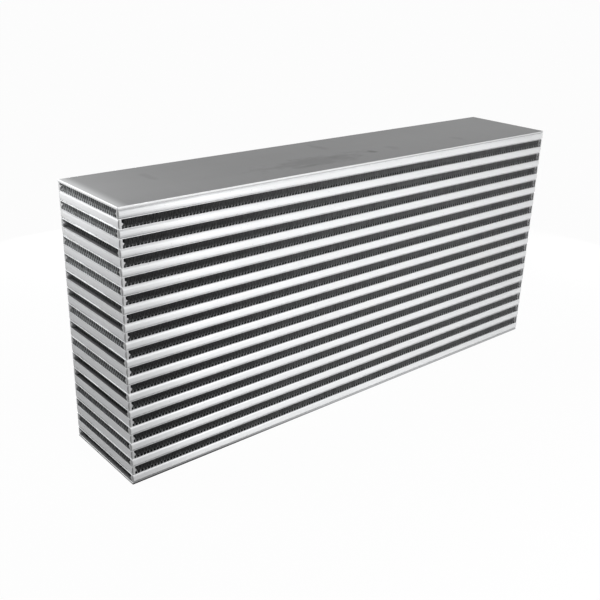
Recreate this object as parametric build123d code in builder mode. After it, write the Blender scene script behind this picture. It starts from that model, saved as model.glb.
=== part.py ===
from build123d import *
from math import asin, atan2, cos, degrees, sin, tan
import os

# A bare bar-and-plate intercooler core, standing on its bottom plate.
# X runs along the length, from the left end face to the right one.
# Y runs through the core, from the front face (-Y) to the back.
# Z points up, and the origin is the centre of the footprint.
# Charge air flows along X in the charge layers, which are open at both end faces.
# Cooling air flows along Y in the ambient layers, which are open at front and back.
# Layers are numbered from the top down, and every length is in millimetres.

# --- the block -----------------------------------------------------------------
core_length = 610.0           # over the parting sheets and the outer plates
core_depth = 114.0            # front face to back face
charge_layers = 16            # the stack starts and ends with a charge layer
charge_height = 8.0           # clear height of a charge layer
ambient_height = 8.75         # clear height of an ambient layer
sheet_thickness = 0.5         # parting sheet between two layers
plate_thickness = 2.5         # top and bottom plate
corner_round = 0.8            # the block's four vertical corners
plate_edge_round = 0.4        # outer rim of the two plates
sheet_proud = 0.25            # sheets and plates past the bars, at each end face

# --- closing bars ---------------------------------------------------------------
bar_web = 3.0                 # flat web of a closing bar, measured inwards
bar_nose = 2.0                # ridge on the inner side of the web
nose_root = 3.0               # height of the ridge where it leaves the web
nose_round = 0.45             # radius at the tip of the ridge
bar_shoulder_radius = 6.0     # the outer face rolls back to both long edges
bar_shoulder_height = 3.0     # height of the bar that each roll takes

# --- folded fins ----------------------------------------------------------------
fin_gauge = 0.2               # strip thickness
charge_fin_pitch = 3.9        # one wave of a charge fin, across the depth
charge_fin_crest = 1.3        # flat on top of each fold
charge_fin_clearance = 1.0    # least gap between a charge fin and a bar's nose
ambient_fin_pitch = 3.65      # one wave of an ambient fin, along the length
ambient_fin_clearance = 0.3   # least gap between an ambient fin and a bar's nose
ambient_fin_setback = 0.5     # behind the front and back faces
near_fin_setback = 0.8        # charge fins, behind the bars' ends
deep_fin_setback = 3.5        # the same, where a fin was cut shorter
deep_fin_layers = (3, 6, 7, 9, 11, 12, 16)

# --- worked out from the sizes above --------------------------------------------
ambient_layers = charge_layers - 1
layer_pitch = charge_height + ambient_height + 2 * sheet_thickness
stack_height = charge_height + ambient_layers * layer_pitch
core_height = stack_height + 2 * plate_thickness
bar_depth = bar_web + bar_nose
bar_length = core_length - 2 * sheet_proud
bar_shoulder_angle = asin(bar_shoulder_height / bar_shoulder_radius)
bar_shoulder_depth = bar_shoulder_radius * (1 - cos(bar_shoulder_angle))


def charge_floor(layer):
    """Height of the surface that charge layer 1, 2, ... stands on."""
    return core_height - plate_thickness - charge_height - (layer - 1) * layer_pitch


def ambient_floor(layer):
    """Height of the surface that ambient layer 1, 2, ... stands on."""
    return charge_floor(layer) - sheet_thickness - ambient_height


def plan_outline(length):
    """Plan of the block, with its four corners rounded."""
    with BuildSketch() as outline:
        RectangleRounded(length, core_depth, corner_round)
    return outline.sketch


def bar_section(height):
    """Closing bar: outer face on x = 0, nose towards +x, standing on y = 0."""
    with BuildSketch() as section:
        with BuildLine():
            Polyline(
                (bar_shoulder_depth, 0),
                (bar_web, 0),
                (bar_web, (height - nose_root) / 2),
                (bar_depth, height / 2),
                (bar_web, (height + nose_root) / 2),
                (bar_web, height),
                (bar_shoulder_depth, height),
            )
            for roll_height, turn in (
                (height - bar_shoulder_height, -degrees(bar_shoulder_angle)),
                (bar_shoulder_height, degrees(bar_shoulder_angle)),
            ):
                CenterArc((bar_shoulder_radius, roll_height), bar_shoulder_radius, 180, turn)
            Line((0, height - bar_shoulder_height), (0, bar_shoulder_height))
        make_face()
        fillet(section.vertices().sort_by(Axis.X)[-1], nose_round)
    return section.sketch


def flat_fold_section(waves, pitch, crest, height):
    """Strip folded with flat crests: centred on x = 0, standing on y = 0."""
    lean = atan2(height - fin_gauge, pitch / 2 - crest)
    mitre = fin_gauge / 2 * tan(lean / 2)
    end = waves * pitch / 2
    upper = [(-end, fin_gauge), (crest / 2 - mitre - end, fin_gauge)]
    lower = [(-end, 0), (crest / 2 + mitre - end, 0)]
    for fold in range(1, 2 * waves):
        centre = fold * pitch / 2 - end
        if fold % 2:
            upper_half, upper_height = crest / 2 + mitre, height
            lower_half, lower_height = crest / 2 - mitre, height - fin_gauge
        else:
            upper_half, upper_height = crest / 2 - mitre, fin_gauge
            lower_half, lower_height = crest / 2 + mitre, 0
        upper += [(centre - upper_half, upper_height), (centre + upper_half, upper_height)]
        lower += [(centre - lower_half, lower_height), (centre + lower_half, lower_height)]
    upper += [(end - crest / 2 + mitre, fin_gauge), (end, fin_gauge)]
    lower += [(end - crest / 2 - mitre, 0), (end, 0)]
    with BuildSketch() as section:
        with BuildLine():
            Polyline(*upper, *reversed(lower), close=True)
        make_face()
    return section.sketch


def sharp_fold_section(waves, pitch, height):
    """Strip folded to a zigzag: centred on x = 0, standing on y = 0."""
    wall_height = fin_gauge / sin(atan2(pitch / 2, height - fin_gauge))
    upper = []
    lower = []
    for fold in range(2 * waves + 1):
        crest = fold * pitch / 2 - waves * pitch / 2
        rise = (height - wall_height) * (fold % 2)
        upper.append((crest, rise + wall_height))
        lower.append((crest, rise))
    with BuildSketch() as section:
        with BuildLine():
            Polyline(*upper, *reversed(lower), close=True)
        make_face()
    return section.sketch


def save(piece, name):
    """Label a finished sub-part and write its STEP file."""
    piece.part.label = name
    export_step(piece.part, f"parts/{name}.step", write_pcurves=False)


os.makedirs("parts", exist_ok=True)

# --- outer plates ---------------------------------------------------------------
with BuildPart() as bottom_plate:
    with BuildSketch(Plane.XY):
        add(plan_outline(core_length))
    extrude(amount=plate_thickness)
    fillet(bottom_plate.faces().sort_by(Axis.Z)[0].edges(), plate_edge_round)
save(bottom_plate, "bottom_plate")

with BuildPart() as top_plate:
    with BuildSketch(Plane.XY.offset(core_height - plate_thickness)):
        add(plan_outline(core_length))
    extrude(amount=plate_thickness)
    fillet(top_plate.faces().sort_by(Axis.Z)[-1].edges(), plate_edge_round)
save(top_plate, "top_plate")

# --- parting sheets, the pair under and over each ambient layer --------------------
for layer in range(1, ambient_layers + 1):
    under = ambient_floor(layer) - sheet_thickness
    over = ambient_floor(layer) + ambient_height
    with BuildPart() as parting_sheets:
        with BuildSketch(Plane.XY.offset(under), Plane.XY.offset(over)):
            add(plan_outline(core_length))
        extrude(amount=sheet_thickness)
    save(parting_sheets, f"parting_sheets_{layer:02d}")

# --- the space that the bars fill, which rounds their outer ends at the corners -----
with BuildPart() as bar_envelope:
    with BuildSketch(Plane.XY):
        add(plan_outline(bar_length))
    extrude(amount=core_height)

# --- long bars that close the charge layers at front and back ----------------------
charge_bar_section = bar_section(charge_height)
charge_floors = [(0, charge_floor(layer)) for layer in range(1, charge_layers + 1)]
for side, inwards in (("front", 1), ("back", -1)):
    bar_start = (-inwards * bar_length / 2, -inwards * core_depth / 2, 0)
    with BuildPart() as charge_bars:
        with BuildSketch(Plane(bar_start, x_dir=(0, inwards, 0), z_dir=(inwards, 0, 0))):
            with Locations(*charge_floors):
                add(charge_bar_section)
        extrude(amount=bar_length)
        add(bar_envelope.part, mode=Mode.INTERSECT)
    save(charge_bars, f"{side}_charge_bars")

# --- short bars that close the ambient layers at the two ends ----------------------
ambient_bar_section = bar_section(ambient_height)
ambient_floors = [(0, ambient_floor(layer)) for layer in range(1, ambient_layers + 1)]
for side, inwards in (("left", 1), ("right", -1)):
    bar_start = (-inwards * bar_length / 2, inwards * core_depth / 2, 0)
    with BuildPart() as ambient_bars:
        with BuildSketch(Plane(bar_start, x_dir=(inwards, 0, 0), z_dir=(0, -inwards, 0))):
            with Locations(*ambient_floors):
                add(ambient_bar_section)
        extrude(amount=core_depth)
        add(bar_envelope.part, mode=Mode.INTERSECT)
    save(ambient_bars, f"{side}_ambient_bars")

# --- charge fins, folded across the depth and running from end to end ---------------
charge_fin_room = core_depth - 2 * (bar_depth + charge_fin_clearance)
charge_fin_waves = int(charge_fin_room // charge_fin_pitch)
charge_fin_section = flat_fold_section(
    charge_fin_waves, charge_fin_pitch, charge_fin_crest, charge_height
)
for layer in range(1, charge_layers + 1):
    setback = deep_fin_setback if layer in deep_fin_layers else near_fin_setback
    fin_length = bar_length - 2 * setback
    fin_start = (-fin_length / 2, 0, charge_floor(layer))
    with BuildPart() as charge_fin:
        with BuildSketch(Plane(fin_start, x_dir=(0, 1, 0), z_dir=(1, 0, 0))):
            add(charge_fin_section)
        extrude(amount=fin_length)
    save(charge_fin, f"charge_fin_{layer:02d}")

# --- ambient fins, folded along the length and running from front to back ------------
ambient_fin_room = bar_length - 2 * (bar_depth + ambient_fin_clearance)
ambient_fin_waves = int(ambient_fin_room // ambient_fin_pitch)
ambient_fin_depth = core_depth - 2 * ambient_fin_setback
ambient_fin_section = sharp_fold_section(
    ambient_fin_waves, ambient_fin_pitch, ambient_height
)
for layer in range(1, ambient_layers + 1):
    fin_start = (0, ambient_fin_depth / 2, ambient_floor(layer))
    with BuildPart() as ambient_fin:
        with BuildSketch(Plane(fin_start, x_dir=(1, 0, 0), z_dir=(0, -1, 0))):
            add(ambient_fin_section)
        extrude(amount=ambient_fin_depth)
    save(ambient_fin, f"ambient_fin_{layer:02d}")
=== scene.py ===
import math
import bmesh
import bpy
from mathutils import Matrix, Vector


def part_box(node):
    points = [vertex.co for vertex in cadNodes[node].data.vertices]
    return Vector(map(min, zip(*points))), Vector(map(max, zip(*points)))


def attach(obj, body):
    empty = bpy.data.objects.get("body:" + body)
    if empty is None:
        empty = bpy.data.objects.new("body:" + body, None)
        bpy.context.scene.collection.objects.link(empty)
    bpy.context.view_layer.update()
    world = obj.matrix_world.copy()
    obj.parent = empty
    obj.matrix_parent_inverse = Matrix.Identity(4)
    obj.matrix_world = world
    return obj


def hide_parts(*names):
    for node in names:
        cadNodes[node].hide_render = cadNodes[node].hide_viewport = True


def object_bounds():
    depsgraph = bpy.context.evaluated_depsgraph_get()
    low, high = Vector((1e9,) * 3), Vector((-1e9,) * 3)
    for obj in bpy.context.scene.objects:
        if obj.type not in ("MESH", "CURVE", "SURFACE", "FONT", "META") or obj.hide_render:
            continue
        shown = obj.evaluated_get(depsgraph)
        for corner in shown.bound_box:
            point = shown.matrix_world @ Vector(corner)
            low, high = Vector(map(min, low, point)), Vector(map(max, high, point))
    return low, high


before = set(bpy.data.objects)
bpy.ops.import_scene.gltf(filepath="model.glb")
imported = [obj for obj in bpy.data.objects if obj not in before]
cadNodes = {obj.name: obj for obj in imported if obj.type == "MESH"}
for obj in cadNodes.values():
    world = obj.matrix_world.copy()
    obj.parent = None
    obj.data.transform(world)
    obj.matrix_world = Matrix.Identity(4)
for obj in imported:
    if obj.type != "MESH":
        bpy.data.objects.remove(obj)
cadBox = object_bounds()
mm = 0.001
print("frame:", len(cadNodes), "cad nodes")


# wires and graphs, used by the materials and by the geometry trees

class Wire:
    # an output socket that can stand in a Python expression
    def __init__(self, graph, socket):
        self.graph = graph
        self.socket = socket

    def out(self, name):
        return Wire(self.graph, self.socket.node.outputs[name])

    def __add__(self, other):
        return self.graph.maths("ADD", self, other)

    def __sub__(self, other):
        return self.graph.maths("SUBTRACT", self, other)

    def __rsub__(self, other):
        return self.graph.maths("SUBTRACT", other, self)

    def __mul__(self, other):
        return self.graph.maths("MULTIPLY", self, other)

    def __truediv__(self, other):
        return self.graph.maths("DIVIDE", self, other)

    def __mod__(self, other):
        return self.graph.maths("FLOORED_MODULO", self, other)

    __radd__ = __add__
    __rmul__ = __mul__


class Graph:
    # a node tree, and the ways to add nodes to it
    def __init__(self, tree):
        self.tree = tree

    def feed(self, socket, value):
        if isinstance(value, Wire):
            self.tree.links.new(value.socket, socket)
        else:
            socket.default_value = value

    def node(self, kind, settings=None, sockets=None, output=0):
        made = self.tree.nodes.new(kind)
        for name, value in (settings or {}).items():
            setattr(made, name, value)
        for name, value in (sockets or {}).items():
            self.feed(made.inputs[name], value)
        return Wire(self, made.outputs[output])

    def maths(self, operation, *values):
        sockets = dict(enumerate(values))
        return self.node("ShaderNodeMath", {"operation": operation}, sockets)

    def absolute(self, value):
        return self.maths("ABSOLUTE", value)

    def larger(self, first, second):
        return self.maths("MAXIMUM", first, second)

    def smooth(self, value, low, high):
        # 0 at low, 1 at high and past it, with soft ends; low may be the larger number
        sockets = {"Value": value, "From Min": low, "From Max": high}
        return self.node("ShaderNodeMapRange", {"interpolation_type": "SMOOTHSTEP"}, sockets)

    def blend(self, factor, first, second):
        # a colour between two others
        sockets = {0: factor, 6: first, 7: second}
        return self.node("ShaderNodeMix", {"data_type": "RGBA"}, sockets, output=2)

    def showsBackground(self):
        # 1 for the rays that see the background itself, 0 for those that light the object
        path = self.node("ShaderNodeLightPath", output="Is Camera Ray")
        seen = self.larger(path, path.out("Is Glossy Ray"))
        return self.larger(seen, path.out("Is Transmission Ray"))


def grey(level):
    return (level, level, level, 1)


def addToScene(item):
    bpy.context.scene.collection.objects.link(item)


class Finish(Graph):
    # a material: a Principled shader and what feeds it, in Object coordinates
    def __init__(self, name):
        self.material = bpy.data.materials.new(name)
        self.material.use_nodes = True
        super().__init__(self.material.node_tree)
        self.tree.nodes.clear()
        self.shader = self.tree.nodes.new("ShaderNodeBsdfPrincipled")
        self.output = self.tree.nodes.new("ShaderNodeOutputMaterial")
        self.tree.links.new(self.shader.outputs[0], self.output.inputs["Surface"])
        self.place = self.node("ShaderNodeTexCoord", output="Object")
        split = self.node("ShaderNodeSeparateXYZ", sockets={0: self.place})
        self.x, self.y, self.z = split.out("X"), split.out("Y"), split.out("Z")

    def set(self, **sockets):
        for name, value in sockets.items():
            self.feed(self.shader.inputs[name.replace("_", " ")], value)
        return self.material

    def noise(self, scale=1.0, stretch=(1, 1, 1), detail=3.0, roughness=0.5):
        mapped = self.node("ShaderNodeMapping", sockets={"Vector": self.place, "Scale": stretch})
        sockets = {"Vector": mapped, "Scale": scale, "Detail": detail, "Roughness": roughness}
        return self.node("ShaderNodeTexNoise", sockets=sockets)

    def bump(self, height, distance, strength):
        sockets = {"Height": height, "Distance": distance, "Strength": strength}
        return self.node("ShaderNodeBump", sockets=sockets)


class GeometryTree(Graph):
    # a geometry node tree with named inputs
    def __init__(self, name, inputs):
        tree = bpy.data.node_groups.new(name, "GeometryNodeTree")
        super().__init__(tree)
        tree.interface.new_socket("Geometry", in_out="OUTPUT", socket_type="NodeSocketGeometry")
        for label, (kind, value) in inputs.items():
            socket = tree.interface.new_socket(label, in_out="INPUT", socket_type="NodeSocket" + kind)
            if value is not None:
                socket.default_value = value
        self.entry = tree.nodes.new("NodeGroupInput")
        self.exit = tree.nodes.new("NodeGroupOutput")

    def given(self, label):
        return Wire(self, self.entry.outputs[label])

    def index(self):
        return self.node("GeometryNodeInputIndex")

    def vector(self, **sockets):
        return self.node("ShaderNodeCombineXYZ", sockets=sockets)

    def points(self, count, position):
        # a row of points, each moved to its own position
        line = self.node("GeometryNodeMeshLine", sockets={"Count": count})
        return self.node("GeometryNodeSetPosition", sockets={"Geometry": line, "Position": position})

    def copies(self, points, shape, **sockets):
        sockets = dict(sockets, Points=points, Instance=shape)
        return self.node("GeometryNodeInstanceOnPoints", sockets=sockets)

    def finish(self, geometry, material, sharpAngle):
        # plain mesh, smooth but for its sharp edges, in one material
        real = self.node("GeometryNodeRealizeInstances", sockets={0: geometry})
        sharp = self.maths("GREATER_THAN", self.node("GeometryNodeInputMeshEdgeAngle"), sharpAngle)
        faces = self.node("GeometryNodeSetShadeSmooth", sockets={"Geometry": real, "Shade Smooth": True})
        edges = self.node(
            "GeometryNodeSetShadeSmooth",
            {"domain": "EDGE"},
            {"Geometry": faces, "Selection": sharp, "Shade Smooth": False},
        )
        painted = self.node("GeometryNodeSetMaterial", sockets={"Geometry": edges, "Material": material})
        self.feed(self.exit.inputs[0], painted)


def growPiece(name, tree, values):
    # runs a geometry tree and returns its result as a plain mesh object at the origin
    seed = bpy.data.objects.new(name + "_seed", bpy.data.meshes.new(name + "_seed"))
    addToScene(seed)
    modifier = seed.modifiers.new("grow", "NODES")
    modifier.node_group = tree
    for item in tree.interface.items_tree:
        if item.in_out == "INPUT" and item.name in values:
            modifier[item.identifier] = values[item.name]
    depsgraph = bpy.context.evaluated_depsgraph_get()
    mesh = bpy.data.meshes.new_from_object(seed.evaluated_get(depsgraph))
    bpy.data.objects.remove(seed)
    mesh.name = name
    while mesh.materials[0] is None:
        mesh.materials.pop(index=0)            # an empty slot that no face uses
    shape = bmesh.new()
    shape.from_mesh(mesh)
    bmesh.ops.recalc_face_normals(shape, faces=shape.faces)
    shape.to_mesh(mesh)
    shape.free()
    piece = bpy.data.objects.new(name, mesh)
    addToScene(piece)
    return piece


# camera: stands off the front left corner, a little above the core

camera = {
    "place": (-0.63284, -0.67628, 0.48425),
    "forward": (0.60339, 0.69876, -0.38426),
    "roll": 1.787,            # degrees, lifts the right side
    "lens": 50.43,
    "nearest": 0.01,          # what is closer isn't drawn
}


def makeCamera(c):
    data = bpy.data.cameras.new("camera")
    data.lens = c["lens"]
    data.clip_start = c["nearest"]
    lens = bpy.data.objects.new("camera", data)
    aim = Vector(c["forward"]).normalized().to_track_quat("-Z", "Y").to_matrix()
    turn = Matrix.Rotation(math.radians(c["roll"]), 3, "Z")
    lens.matrix_world = Matrix.Translation(c["place"]) @ (aim @ turn).to_4x4()
    addToScene(lens)
    bpy.context.scene.camera = lens


makeCamera(camera)
print("camera ready")


# studio: white floor and world, and a soft lamp for each side
# the back and right lamps stand below the top of the core, so the top plate doesn't mirror them

studio = {
    "floorSize": 60.0,
    "floorGlow": 0.97,        # share of the floor's white that shadows don't dim
    "floorBounce": 0.60,      # how pale the floor is to the light it throws back
    "floorShown": 0.9,        # its colour where it is seen
    "floorRoughness": 0.9,
    "worldFill": 0.18,        # what the world gives matt surfaces
    "lamps": {
        "front": {"place": (-0.03, -0.72, 0.15), "aim": (-0.02, 0.0, 0.12), "size": 0.4, "power": 4.36},
        "left": {"place": (-0.40, 0.05, 0.40), "aim": (-0.305, 0.0, 0.24), "size": 0.12, "power": 0.45},
        "back": {"place": (0.03, 0.72, 0.14), "aim": (0.02, 0.0, 0.13), "size": 0.24, "power": 3.2},
        "right": {"place": (0.75, 0.05, 0.14), "aim": (0.305, 0.0, 0.14), "size": 0.2, "power": 1.3},
    },
}


def makeWorld(s):
    world = bpy.data.worlds.new("studio")
    world.use_nodes = True
    bpy.context.scene.world = world
    graph = Graph(world.node_tree)
    graph.tree.nodes.clear()
    seen = graph.showsBackground()
    strength = seen + (1 - seen) * s["worldFill"]
    light = graph.node("ShaderNodeBackground", sockets={"Color": grey(1.0), "Strength": strength})
    end = graph.tree.nodes.new("ShaderNodeOutputWorld")
    graph.feed(end.inputs["Surface"], light)


def makeFloor(s):
    half = s["floorSize"] / 2
    mesh = bpy.data.meshes.new("floor")
    corners = [(-half, -half, 0), (half, -half, 0), (half, half, 0), (-half, half, 0)]
    mesh.from_pydata(corners, [], [(0, 1, 2, 3)])
    floor = bpy.data.objects.new("floor", mesh)
    addToScene(floor)
    paint = Finish("studioFloor")
    seen = paint.showsBackground()
    color = paint.blend(seen, grey(s["floorBounce"]), grey(s["floorShown"]))
    paint.set(Base_Color=color, Roughness=s["floorRoughness"], Specular_IOR_Level=0.0)
    glow = paint.node("ShaderNodeEmission", sockets={"Color": grey(1.0), "Strength": 1.0})
    body = Wire(paint, paint.shader.outputs[0])
    mixed = paint.node("ShaderNodeMixShader", sockets={0: seen * s["floorGlow"], 1: body, 2: glow})
    paint.feed(paint.output.inputs["Surface"], mixed)
    mesh.materials.append(paint.material)


def makeLamps(lamps):
    for name, spec in lamps.items():
        data = bpy.data.lights.new(name, "AREA")
        data.size = spec["size"]
        data.energy = spec["power"]
        lamp = bpy.data.objects.new(name, data)
        lamp.visible_camera = False
        place = Vector(spec["place"])
        turn = (Vector(spec["aim"]) - place).to_track_quat("-Z", "Y")
        lamp.matrix_world = Matrix.Translation(place) @ turn.to_matrix().to_4x4()
        addToScene(lamp)


makeWorld(studio)
makeFloor(studio)
makeLamps(studio["lamps"])
bpy.context.scene.view_settings.view_transform = "Standard"
print("studio ready")


# finishes of the aluminium pieces, in the object's own coordinates

layout = {                     # the stack, as the solids have it
    "plate": 2.5 * mm,
    "pitch": 17.75 * mm,       # one charge layer, one ambient layer and two sheets
    "charge": 8.0 * mm,        # clear height of a charge layer
    "ambient": 8.75 * mm,      # clear height of an ambient layer
    "ambientStart": 8.5 * mm,  # a charge layer and a sheet
}
halfLength = cadBox[1].x
halfDepth = cadBox[1].y


class Metal(Finish):
    # ranges are pairs, from where a mark starts to where it is full
    def shadeColor(self, shade, cool=0.01):
        # a grey from a varying level, a little cool
        sockets = {0: shade * (1 - cool), 1: shade, 2: shade * (1 + cool)}
        return self.node("ShaderNodeCombineColor", sockets=sockets)

    def nearEnds(self, inner, outer):
        # 0 further in than inner from the end faces, 1 past outer
        return self.smooth(self.absolute(self.x), halfLength - inner, halfLength - outer)

    def nearFaces(self, inner, outer):
        # the same for the front and back faces
        return self.smooth(self.absolute(self.y), halfDepth - inner, halfDepth - outer)

    def towardsLeft(self):
        return self.smooth(self.x, 0.0, -halfLength)

    def paintedCornerShade(self, inner, outer):
        # painted shade along the upright corners of the left end
        across = self.absolute(self.x) + self.absolute(self.y)
        reach = halfLength + halfDepth
        return self.smooth(across, reach - inner, reach - outer) * self.towardsLeft()

    def inLayer(self, start):
        # height above the lower edge of the layer, the same in every layer
        return (self.z - (layout["plate"] + start)) % layout["pitch"]


class BarMetal(Metal):
    # what the long and the short bars share: grain, clouds, stains with painted shade along the lower
    # edge, painted shade on the left corners, and pits
    def __init__(self, name, bar):
        super().__init__(name)
        self.bar = bar
        self.local = self.inLayer(bar["start"])
        self.grain = self.noise(**bar["grain"])
        clouds = self.noise(**bar["clouds"])
        flux = self.smooth(self.noise(**bar["flux"]), *bar["fluxRange"])
        self.flux = bar["fluxLeast"] + flux * (1 - bar["fluxLeast"])
        self.stainAndShade = (1 - self.smooth(self.local, 0.0, bar["stainAndShadeWidth"])) * self.flux * bar["stainAndShade"]
        self.shade = bar["level"] + (self.grain - 0.5) * bar["scratch"] + (clouds - 0.5) * bar["cloud"]
        self.darken(self.stainAndShade)
        self.darken(self.paintedCornerShade(*bar["cornerRange"]) * bar["cornerShade"])
        self.darken(self.smooth(self.noise(**bar["pits"]), *bar["pitRange"]) * bar["pit"])

    def darken(self, mark):
        self.shade = self.shade * (1 - mark)

    def close(self, metallic):
        bar = self.bar
        rough = bar["roughness"] + (self.grain - 0.5) * bar["roughGrain"] + self.stainAndShade * bar["roughStain"]
        normal = self.bump(self.grain, bar["bump"], bar["bumpStrength"])
        color = self.shadeColor(self.shade)
        return self.set(Base_Color=color, Metallic=metallic, Roughness=rough, Normal=normal)


barStock = {                                   # what both kinds of bar share
    "metallic": 0.12,
    "roughness": 0.42,
    "roughGrain": 0.18,
    "roughStain": 0.3,
    "bump": 0.02 * mm,
    "bumpStrength": 0.5,
    "scratch": 0.16,
    "cloud": 0.13,
    "flux": {"scale": 260, "detail": 2},       # breaks up the stain and painted shade along the lower edge, and the braze line and painted shade along the upper edge
    "fluxRange": (0.35, 0.66),
    "fluxLeast": 0.35,
    "stainAndShadeWidth": 1.4 * mm,                    # stain and painted shade, along the lower edge
    # painted shade along the left end's upright corners
    "cornerRange": (1.8 * mm, 0.81 * mm),
    "cornerShade": 0.50,
    "pits": {"scale": 420, "detail": 2},
    "pitRange": (0.66, 0.74),
    "pit": 0.22,
}
longBar = dict(
    barStock,
    level=0.84,
    grain={"stretch": (14, 900, 1400), "detail": 4, "roughness": 0.6},
    clouds={"stretch": (9, 30, 60)},
    stainAndShade=0.30,
    start=0.0,
    height=layout["charge"],
    seamShadeWidth=0.6 * mm,                        # braze line and painted shade under the edge above, along the upper edge
    seamShade=0.45,
    shadeReach=90 * mm,                         # from the left end
    paintedShade=0.34,
)
shortBar = dict(
    barStock,
    level=0.82,
    grain={"stretch": (900, 14, 1400), "detail": 4, "roughness": 0.6},
    clouds={"stretch": (30, 9, 60)},
    stainAndShade=0.12,
    start=layout["ambientStart"],
    height=layout["ambient"],
    tipRange=(0.9 * mm, 0.3 * mm),             # the bar's tips, at the front and back faces
    tipShade=0.5,                               # painted shade on the tips of the left bars
    rightTipShade=0.85,                              # painted shade on the tips of the right bars, as dark as the fin rows beside them, but for their end face
    rightTipRange=(1.4 * mm, 2.2 * mm),             # how far in from that face it starts
    paintedHighlight=1.0,                                   # painted highlights along the bar's long edges
    highlightLevel=0.97,
    highlightEnds=(2.0 * mm, 0.5 * mm),              # where they stop, short of the tips
    topHighlightRange=(1.7 * mm, 1.0 * mm),         # painted highlight, a line below the upper edge
    topHighlightFrom=(0.258, 0.262),                # only on the uppermost bar
    lowHighlightNoise={"stretch": (3, 14, 60), "detail": 1},
    lowHighlightRange=(0.50, 0.56),
    lowHighlightWidth=(0.5 * mm, 1.0 * mm),             # painted highlight patches above the lower edge
)


def longBarFinish(name, bar):
    paint = BarMetal(name, bar)
    # a braze line and painted shade along the upper edge
    seamShade = paint.smooth(paint.local, bar["height"] - bar["seamShadeWidth"], bar["height"])
    paint.darken(seamShade * paint.flux * bar["seamShade"])
    # painted shade, darker towards the left end
    paint.darken(paint.smooth(paint.x, bar["shadeReach"] - halfLength, -halfLength) * bar["paintedShade"])
    return paint.close(bar["metallic"])


def shortBarFinish(name, bar):
    paint = BarMetal(name, bar)
    tips = paint.nearFaces(*bar["tipRange"])
    paint.darken(tips * paint.towardsLeft() * bar["tipShade"])
    # painted shade on the right bars' tips, where the dark fin rows end
    clear, inside = bar["rightTipRange"]
    shadedRightTips = tips * paint.smooth(paint.x, halfLength / 2, halfLength)
    shadedRightTips = shadedRightTips * paint.smooth(paint.x, halfLength - clear, halfLength - inside)
    paint.darken(shadedRightTips * bar["rightTipShade"])

    # painted highlights: a line below the upper edge of the uppermost bar, and patches above the lower
    # edge of every one
    foot, top = bar["topHighlightRange"]
    topHighlight = paint.smooth(paint.local, bar["height"] - foot, bar["height"] - top)
    topHighlight = topHighlight * paint.smooth(paint.z, *bar["topHighlightFrom"])
    lowHighlight = paint.smooth(paint.noise(**bar["lowHighlightNoise"]), *bar["lowHighlightRange"])
    lowHighlight = lowHighlight * (1 - paint.smooth(paint.local, *bar["lowHighlightWidth"]))
    paintedHighlight = paint.larger(topHighlight, lowHighlight) * bar["paintedHighlight"] * (1 - paint.nearFaces(*bar["highlightEnds"]))
    paint.shade = paint.shade + (bar["highlightLevel"] - paint.shade) * paintedHighlight
    return paint.close(bar["metallic"] + paintedHighlight * (1 - bar["metallic"]))


topPlate = {
    "level": 0.20,
    "metallic": 0.5,
    "roughness": 0.42,
    "bump": 0.01 * mm,
    "bumpStrength": 0.4,
    "clouds": {"scale": 9, "stretch": (1, 2, 1)},
    "cloud": 0.05,
    "rolling": {"stretch": (900, 6, 900)},
    "roll": 0.02,
    "leftRange": (0.1, -0.1),                  # where the left half begins
    "sheenReach": 14 * mm,                    # from the left end
    "leftSheen": 0.25,
    "sideRange": (279.1 * mm, 278.8 * mm),     # the upright sides start below this height
    "rimRange": (0.9 * mm, 0.3 * mm),
    "rimLevel": 0.92,
    "rimMetallic": 0.5,
    # painted shade along the left end's upright corners
    "cornerRange": (1.2 * mm, 0.54 * mm),
    "cornerShade": 0.3,
    # painted shade on the upright sides
    "paintedShade": 0.16,
    "shadeLeft": 0.45,                          # more of it towards the left
    "lowRange": (278.2 * mm, 277.5 * mm),      # painted shade on the lower part of the sides
    "lowShade": 0.35,
    "lowFadeRange": (-0.28, 0.05),
    "lowFade": 0.0,                            # less of it towards the right
    "rag": {"scale": 70, "stretch": (1, 1.6, 1)},
    "ragged": 1.4,                             # how uneven the smudges' outlines are
    "smudgeRange": (0.3, 1.1),
    "smudges": (                               # x, y, length, width and how dark
        (-0.050, -0.022, 0.080, 0.022, 0.34),
        (0.032, -0.023, 0.006, 0.008, 0.60),
        (-0.069, -0.034, 0.010, 0.005, 0.22),
        (-0.025, -0.020, 0.009, 0.005, 0.22),
        (-0.005, 0.028, 0.008, 0.016, 0.20),
        (0.066, -0.020, 0.009, 0.012, 0.15),
        (0.172, -0.026, 0.008, 0.012, 0.15),
        (-0.230, 0.020, 0.006, 0.018, 0.15),
    ),
}
bottomPlate = dict(
    topPlate,
    rimLevel=0.98,
    rimMetallic=0.95,
    paintedShade=0.50,
    shadeLeft=0.25,
    sideRange=(3.0 * mm, 2.6 * mm),            # all of the plate
    lowRange=(2.0 * mm, 1.3 * mm),
    lowShade=0.96,
    lowFade=0.80,
    smudges=(),
)


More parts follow.
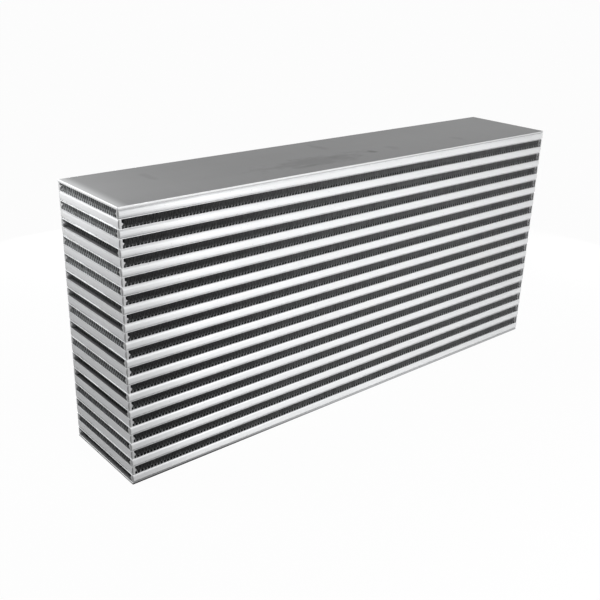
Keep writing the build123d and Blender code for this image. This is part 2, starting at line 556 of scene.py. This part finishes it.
def plateFinish(name, plate):
    paint = Metal(name)
    clouds = paint.noise(**plate["clouds"])
    rolling = paint.noise(**plate["rolling"])
    shade = plate["level"] + (clouds - 0.5) * plate["cloud"] + (rolling - 0.5) * plate["roll"]
    rag = (paint.noise(**plate["rag"]) - 0.5) * plate["ragged"]
    for x, y, length, width, dark in plate["smudges"]:
        sockets = {
            "Vector": paint.place,
            "Scale": (1 / length, 1 / width, 0),
            "Location": (-x / length, -y / width, 0),
        }
        spread = paint.node("ShaderNodeMapping", sockets=sockets)
        reach = paint.node("ShaderNodeVectorMath", {"operation": "LENGTH"}, {0: spread}, output=1)
        smudge = 1 - paint.smooth(reach + rag, *plate["smudgeRange"])
        shade = shade * (1 - smudge * dark)
    leftHalf = paint.smooth(paint.x, *plate["leftRange"])
    # a painted sheen near the left end
    shade = shade + paint.nearEnds(plate["sheenReach"], 0.0) * leftHalf * plate["leftSheen"]

    # the rim and the upright sides, which are brighter than the broad face; the bright rim on the top
    # face is a painted highlight along its left half, and the sides get painted shade, more towards the
    # left and at their foot
    atEnd = paint.nearEnds(*plate["rimRange"])
    atFace = paint.nearFaces(*plate["rimRange"])
    side = paint.smooth(paint.z, *plate["sideRange"])
    paintedShade = side * (plate["paintedShade"] + paint.towardsLeft() * plate["shadeLeft"]) * (1 - atEnd)
    low = side * paint.smooth(paint.z, *plate["lowRange"]) * plate["lowShade"]
    low = low * (1 - paint.smooth(paint.x, *plate["lowFadeRange"]) * plate["lowFade"])
    corner = paint.paintedCornerShade(*plate["cornerRange"]) * plate["cornerShade"]
    rimShade = plate["rimLevel"] * (1 - paintedShade) * (1 - low) * (1 - corner)
    rim = paint.larger(atEnd, atFace) * paint.larger(leftHalf, side)
    color = paint.blend(rim, paint.shadeColor(shade), paint.shadeColor(rimShade))
    metallic = plate["metallic"] + rim * (plate["rimMetallic"] - plate["metallic"])
    normal = paint.bump(rolling, plate["bump"], plate["bumpStrength"])
    return paint.set(Base_Color=color, Metallic=metallic, Roughness=plate["roughness"], Normal=normal)


sheet = {
    "level": 0.13,                             # painted shade inside the channels
    "metallic": 0.35,
    "roughness": 0.42,
    "rimRange": (1.0 * mm, 0.6 * mm),
    "endLevel": 0.92,                          # edges at the left and right ends
    "endMetallic": 0.85,
    "faceLevel": 0.50,                         # edges at the front and back
    "wear": {"scale": 180},
    "worn": 0.3,
    # painted shade along the left end's upright corners
    "cornerRange": (1.2 * mm, 0.54 * mm),
    "cornerShade": 0.4,
    "mouthRange": (5 * mm, 2 * mm),            # painted shade, darkest just inside the front and back faces
    "mouthShade": 0.97,
    "endLightRange": (4.5 * mm, 0.8 * mm),        # painted light just inside the end faces
    "endLight": 0.08,
}


def sheetFinish(name, sheet):
    paint = Metal(name)
    ends = paint.nearEnds(*sheet["rimRange"])
    edge = paint.larger(ends, paint.nearFaces(*sheet["rimRange"]))
    wear = (paint.noise(**sheet["wear"]) - 0.5) * sheet["worn"]
    rim = sheet["faceLevel"] + ends * (sheet["endLevel"] - sheet["faceLevel"]) + wear
    rim = rim * (1 - paint.paintedCornerShade(*sheet["cornerRange"]) * sheet["cornerShade"])
    # painted shade inside the channels, darkest just inside the front and back faces, lighter just inside
    # the end faces where light reaches in
    mouth = paint.nearFaces(*sheet["mouthRange"]) * sheet["mouthShade"]
    inner = sheet["level"] * (1 - mouth) + paint.nearEnds(*sheet["endLightRange"]) * sheet["endLight"]
    color = paint.blend(edge, paint.shadeColor(inner), paint.shadeColor(rim))
    metallic = sheet["metallic"] + ends * (sheet["endMetallic"] - sheet["metallic"])
    return paint.set(Base_Color=color, Metallic=metallic, Roughness=sheet["roughness"])


class FinMetal(Metal):
    # folded strip painted dark for the shade inside the channels, on which every other wall is painted
    # lighter, a painted highlight
    def __init__(self, name, fin):
        super().__init__(name)
        self.fin = fin
        across = getattr(self, fin["across"])
        self.local = self.inLayer(fin["start"])
        slope = (self.local - fin["height"] / 2) * fin["lean"]
        wave = (across - slope) / fin["pitch"]
        self.wall = self.smooth(self.absolute((wave + fin["phase"]) % 1 - 0.5), *fin["wallRange"])
        self.low = 1 - self.smooth(self.local, 0.0, fin["footHeight"])
        self.pocket = 1 - (1 - self.wall) * self.low * fin["pocket"]
        self.grain = fin["grainLeast"] + self.noise(**fin["grain"]) * fin["grainGain"]

    def close(self, shade):
        fin = self.fin
        color = self.shadeColor(shade, fin["cool"])
        return self.set(Base_Color=color, Metallic=fin["metallic"], Roughness=fin["roughness"])


finStock = {                                   # what both kinds of fin share
    "roughness": 0.45,
    "cool": 0.02,
    "phase": 0.25,                             # which walls are the lighter ones
    "wallRange": (0.28, 0.16),                 # their reach, in shares of a wave
    "grainLeast": 0.6,
    "grainGain": 0.8,
}
chargeFinLook = dict(
    finStock,
    across="y",
    level=0.052,
    metallic=0.6,
    start=0.0,
    height=layout["charge"],
    pitch=3.9 * mm,
    lean=0.11,                                 # how far a lighter wall leans, per height
    grain={"stretch": (30, 260, 60), "detail": 2},
    footHeight=2.0 * mm,
    pocket=0.5,                                # shade between the lighter walls' feet
    wallHighlight=8.0,                                 # painted highlight: how much lighter those walls are
    cutRange=(1.95 * mm, 1.05 * mm),           # the cut ends, a little lighter
    cut=0.12,
    lowRange=(0.20, 0.0),                      # painted shade: the lower layers are darker
    shadeLow=0.60,
    rise=0.9,                                  # painted light: how much lighter the upper part of each layer is, and darker the lower part
)
ambientFinLook = dict(
    finStock,
    across="x",
    level=0.131,
    metallic=0.25,
    start=layout["ambientStart"],
    height=layout["ambient"],
    pitch=3.65 * mm,
    lean=0.12,
    grain={"stretch": (260, 30, 60), "detail": 2},
    footHeight=3.7 * mm,
    pocket=1.0,
    wallHighlight=0.35,
    highRange=(0.05, 0.25),
    wallHighlightFade=0.75,                            # less painted highlight in the upper layers
    footHighlight=4.6,                                 # painted highlight on the feet of the lighter walls
    # painted shade towards the left end
    leftRange=(-0.08, -0.30),
    shadeLeft=0.68,
    notch=0.8,                                 # how much of the painted shade at the left those walls' feet are spared
)


def chargeFinFinish(name, fin):
    paint = FinMetal(name, fin)
    shade = fin["level"] + paint.nearEnds(*fin["cutRange"]) * fin["cut"]
    shade = shade * paint.grain * (1 + paint.wall * fin["wallHighlight"]) * paint.pocket
    # painted shade in the lower layers, and painted light towards the top of each layer
    bottom = paint.smooth(paint.z, *fin["lowRange"]) * fin["shadeLow"]
    rise = 1 + (paint.local / fin["height"] - 0.5) * fin["rise"]
    return paint.close(shade * (1 - bottom) * rise)


def ambientFinFinish(name, fin):
    paint = FinMetal(name, fin)
    # painted highlights on every other wall, fading in the upper layers, and on those walls' feet
    wallHighlight = fin["wallHighlight"] * (1 - paint.smooth(paint.z, *fin["highRange"]) * fin["wallHighlightFade"])
    lift = 1 + paint.wall * (wallHighlight + paint.low * fin["footHighlight"])
    # painted shade towards the left end, which the lighter walls' feet partly escape
    left = paint.smooth(paint.x, *fin["leftRange"]) * fin["shadeLeft"]
    left = left * (1 - paint.wall * paint.low * fin["notch"])
    return paint.close(fin["level"] * paint.grain * lift * paint.pocket * (1 - left))


paints = {                    # each goes on the cad nodes whose names hold its key
    "charge_bars": longBarFinish("longBar", longBar),
    "ambient_bars": shortBarFinish("shortBar", shortBar),
    "parting_sheets": sheetFinish("sheet", sheet),
    "top_plate": plateFinish("topPlate", topPlate),
    "bottom_plate": plateFinish("bottomPlate", bottomPlate),
    "charge_fin": chargeFinFinish("chargeFin", chargeFinLook),
    "ambient_fin": ambientFinFinish("ambientFin", ambientFinLook),
}
print("finishes ready:", len(paints))


# carried-over cad nodes: plates, bars and sheets keep their mesh and get a finish

def dress(part, paint):
    for name, piece in cadNodes.items():
        if part in name:
            piece.data.materials.clear()
            piece.data.materials.append(paint)


for part, paint in paints.items():
    dress(part, paint)
print("cad nodes dressed")


# folded fins, grown by one tree

finInputs = {
    "Waves": ("Int", 26),
    "Pitch": ("Float", 3.9 * mm),
    "Height": ("Float", 8 * mm),
    "Gauge": ("Float", 0.2 * mm),
    "Crest": ("Float", 1.3 * mm),            # width of a fold before it is rounded
    "Fold Radius": ("Float", 0.4 * mm),
    "Fold Steps": ("Int", 2),
    "Run": ("Float", 0.6),                   # length of the fin along its channels
    "Strips": ("Int", 0),                    # short strips at each end of the run
    "Strip": ("Float", 3 * mm),              # length of one of them
    "Offset": ("Float", 0.0),                # how far every other one shifts, in pitches
    "Louvres": ("Int", 0),                   # slats in each wall, behind the short strips
    "Louvre": ("Float", 1.3 * mm),           # pitch of the slats along the run
    "Louvre Angle": ("Float", 0.47),
    "Louvre Overlap": ("Float", 1.02),       # length of a slat, in its pitches
    "Louvre Margin": ("Float", 4.0),         # what the folds keep of the height, in gauges
    "Wander": ("Float", 0.1 * mm),           # how far a fold strays from its pitch
    "Seed": ("Int", 1),
    "Turn": ("Float", 0.0),
    "Place": ("Vector", None),
    "Material": ("Material", None),
}
sharpAngle = math.radians(40)


def foldedStrip(tree):
    # one short strip: a path of corners across the fin, rounded and given its gauge
    g = tree.given
    index = tree.index()
    half = g("Waves") * g("Pitch") / 2
    fold = tree.maths("FLOOR", index / 2)
    stray = tree.node(
        "FunctionNodeRandomValue", {"data_type": "FLOAT"},
        {2: g("Wander") * -1, 3: g("Wander"), "ID": fold, "Seed": g("Seed")}, output=1,
    )
    x = fold * g("Pitch") / 2 - half + (index % 2 - 0.5) * g("Crest") + stray
    x = tree.maths("MINIMUM", tree.larger(x, half * -1), half)
    z = g("Gauge") / 2 + fold % 2 * (g("Height") - g("Gauge"))
    bent = tree.points(g("Waves") * 4 + 2, tree.vector(X=x, Z=z))
    path = tree.node("GeometryNodeMeshToCurve", sockets={0: bent})
    path = tree.node(
        "GeometryNodeFilletCurve", {"mode": "POLY"},
        {"Curve": path, "Count": g("Fold Steps"), "Radius": g("Fold Radius"), "Limit Radius": True},
    )
    path = tree.node("GeometryNodeSetCurveNormal", {"mode": "FREE"}, {"Curve": path, "Normal": (0, 1, 0)})
    section = tree.node(
        "GeometryNodeCurvePrimitiveQuadrilateral", sockets={"Width": g("Strip"), "Height": g("Gauge")},
    )
    return tree.node(
        "GeometryNodeCurveToMesh", sockets={"Curve": path, "Profile Curve": section, "Fill Caps": True},
    )


def stripRow(tree, strip):
    # short strips at both ends of the run, and one long strip between the louvres
    g = tree.given
    bank = g("Louvres") * g("Louvre")
    step = tree.index() - g("Strips")
    away = tree.maths("SIGN", step)
    middle = g("Run") - g("Strips") * g("Strip") * 2 - bank * 2
    y = step * g("Strip") + away * ((middle - g("Strip")) / 2 + bank)
    shift = tree.absolute(step) % 2 * g("Offset") * g("Pitch")
    spots = tree.points(g("Strips") * 2 + 1, tree.vector(X=shift, Y=y))
    length = 1 + (1 - tree.absolute(away)) * (middle / g("Strip") - 1)
    return tree.copies(spots, strip, Scale=tree.vector(X=1.0, Y=length, Z=1.0))


def louvreBanks(tree):
    # turned slats in every wall, mirrored front to back
    g = tree.given
    index = tree.index()
    bank = g("Louvres") * g("Louvre")
    length = g("Louvre") * g("Louvre Overlap")
    size = tree.vector(X=g("Gauge"), Y=length, Z=g("Height") - g("Gauge") * g("Louvre Margin"))
    slat = tree.node("GeometryNodeMeshCube", sockets={"Size": size})
    step = index + 0.5 - g("Louvres")
    side = tree.maths("SIGN", step)
    depth = g("Run") / 2 - g("Strips") * g("Strip") - bank + tree.absolute(step) * g("Louvre")
    rank = tree.points(g("Louvres") * 2, tree.vector(Y=side * depth))
    rank = tree.copies(rank, slat, Rotation=tree.vector(Z=side * g("Louvre Angle")))
    x = (index + 0.5) * g("Pitch") / 2 - g("Waves") * g("Pitch") / 2
    walls = tree.points(g("Waves") * 2, tree.vector(X=x, Z=g("Height") / 2))
    slope = tree.maths("ARCTAN2", g("Pitch") / 2 - g("Crest"), g("Height") - g("Gauge"))
    lean = slope * (1 - index % 2 * 2)
    return tree.copies(walls, rank, Rotation=tree.vector(Y=lean))


def foldedFinTree():
    tree = GeometryTree("foldedFin", finInputs)
    g = tree.given
    both = tree.node("GeometryNodeJoinGeometry", sockets={0: stripRow(tree, foldedStrip(tree))})
    tree.feed(both.socket.node.inputs[0], louvreBanks(tree))
    sockets = {"Geometry": both, "Translation": g("Place"), "Rotation": tree.vector(Z=g("Turn"))}
    placed = tree.node("GeometryNodeTransform", sockets=sockets)
    tree.finish(placed, g("Material"), sharpAngle)
    return tree.tree


chargeFin = {
    "Waves": 26, "Pitch": 3.9 * mm, "Gauge": 0.22 * mm, "Crest": 1.1 * mm, "Fold Radius": 0.45 * mm,
    "Strip": 3.2 * mm, "Strips": 3, "Offset": 0.25, "Wander": 0.08 * mm, "Turn": math.pi / 2,
    "Material": paints["charge_fin"],
}
ambientFin = {
    "Waves": 164, "Pitch": 3.65 * mm, "Gauge": 0.2 * mm, "Crest": 0.8 * mm, "Fold Radius": 0.3 * mm,
    "Fold Steps": 1, "Strip": 1.0 * mm, "Strips": 1, "Louvres": 2, "Louvre Angle": math.radians(27),
    "Wander": 0.12 * mm, "Turn": 0.0, "Material": paints["ambient_fin"],
}


def makeFins(prefix, fin, tree):
    names = sorted(name for name in cadNodes if name.startswith(prefix))
    for number, name in enumerate(names):
        low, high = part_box(name)
        size = high - low
        run = size.x if fin["Turn"] else size.y
        place = Vector(((low.x + high.x) / 2, (low.y + high.y) / 2, low.z))
        values = dict(fin, Height=size.z, Run=run, Seed=number + 1, Place=place)
        piece = growPiece("folded_" + name, tree, values)
        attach(piece, "root")
        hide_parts(name)
    triangles = sum(len(face.vertices) - 2 for face in piece.data.polygons)
    print(prefix, len(names), "grown,", triangles, "triangles each")


finTree = foldedFinTree()
makeFins("charge_fin", chargeFin, finTree)
makeFins("ambient_fin", ambientFin, finTree)
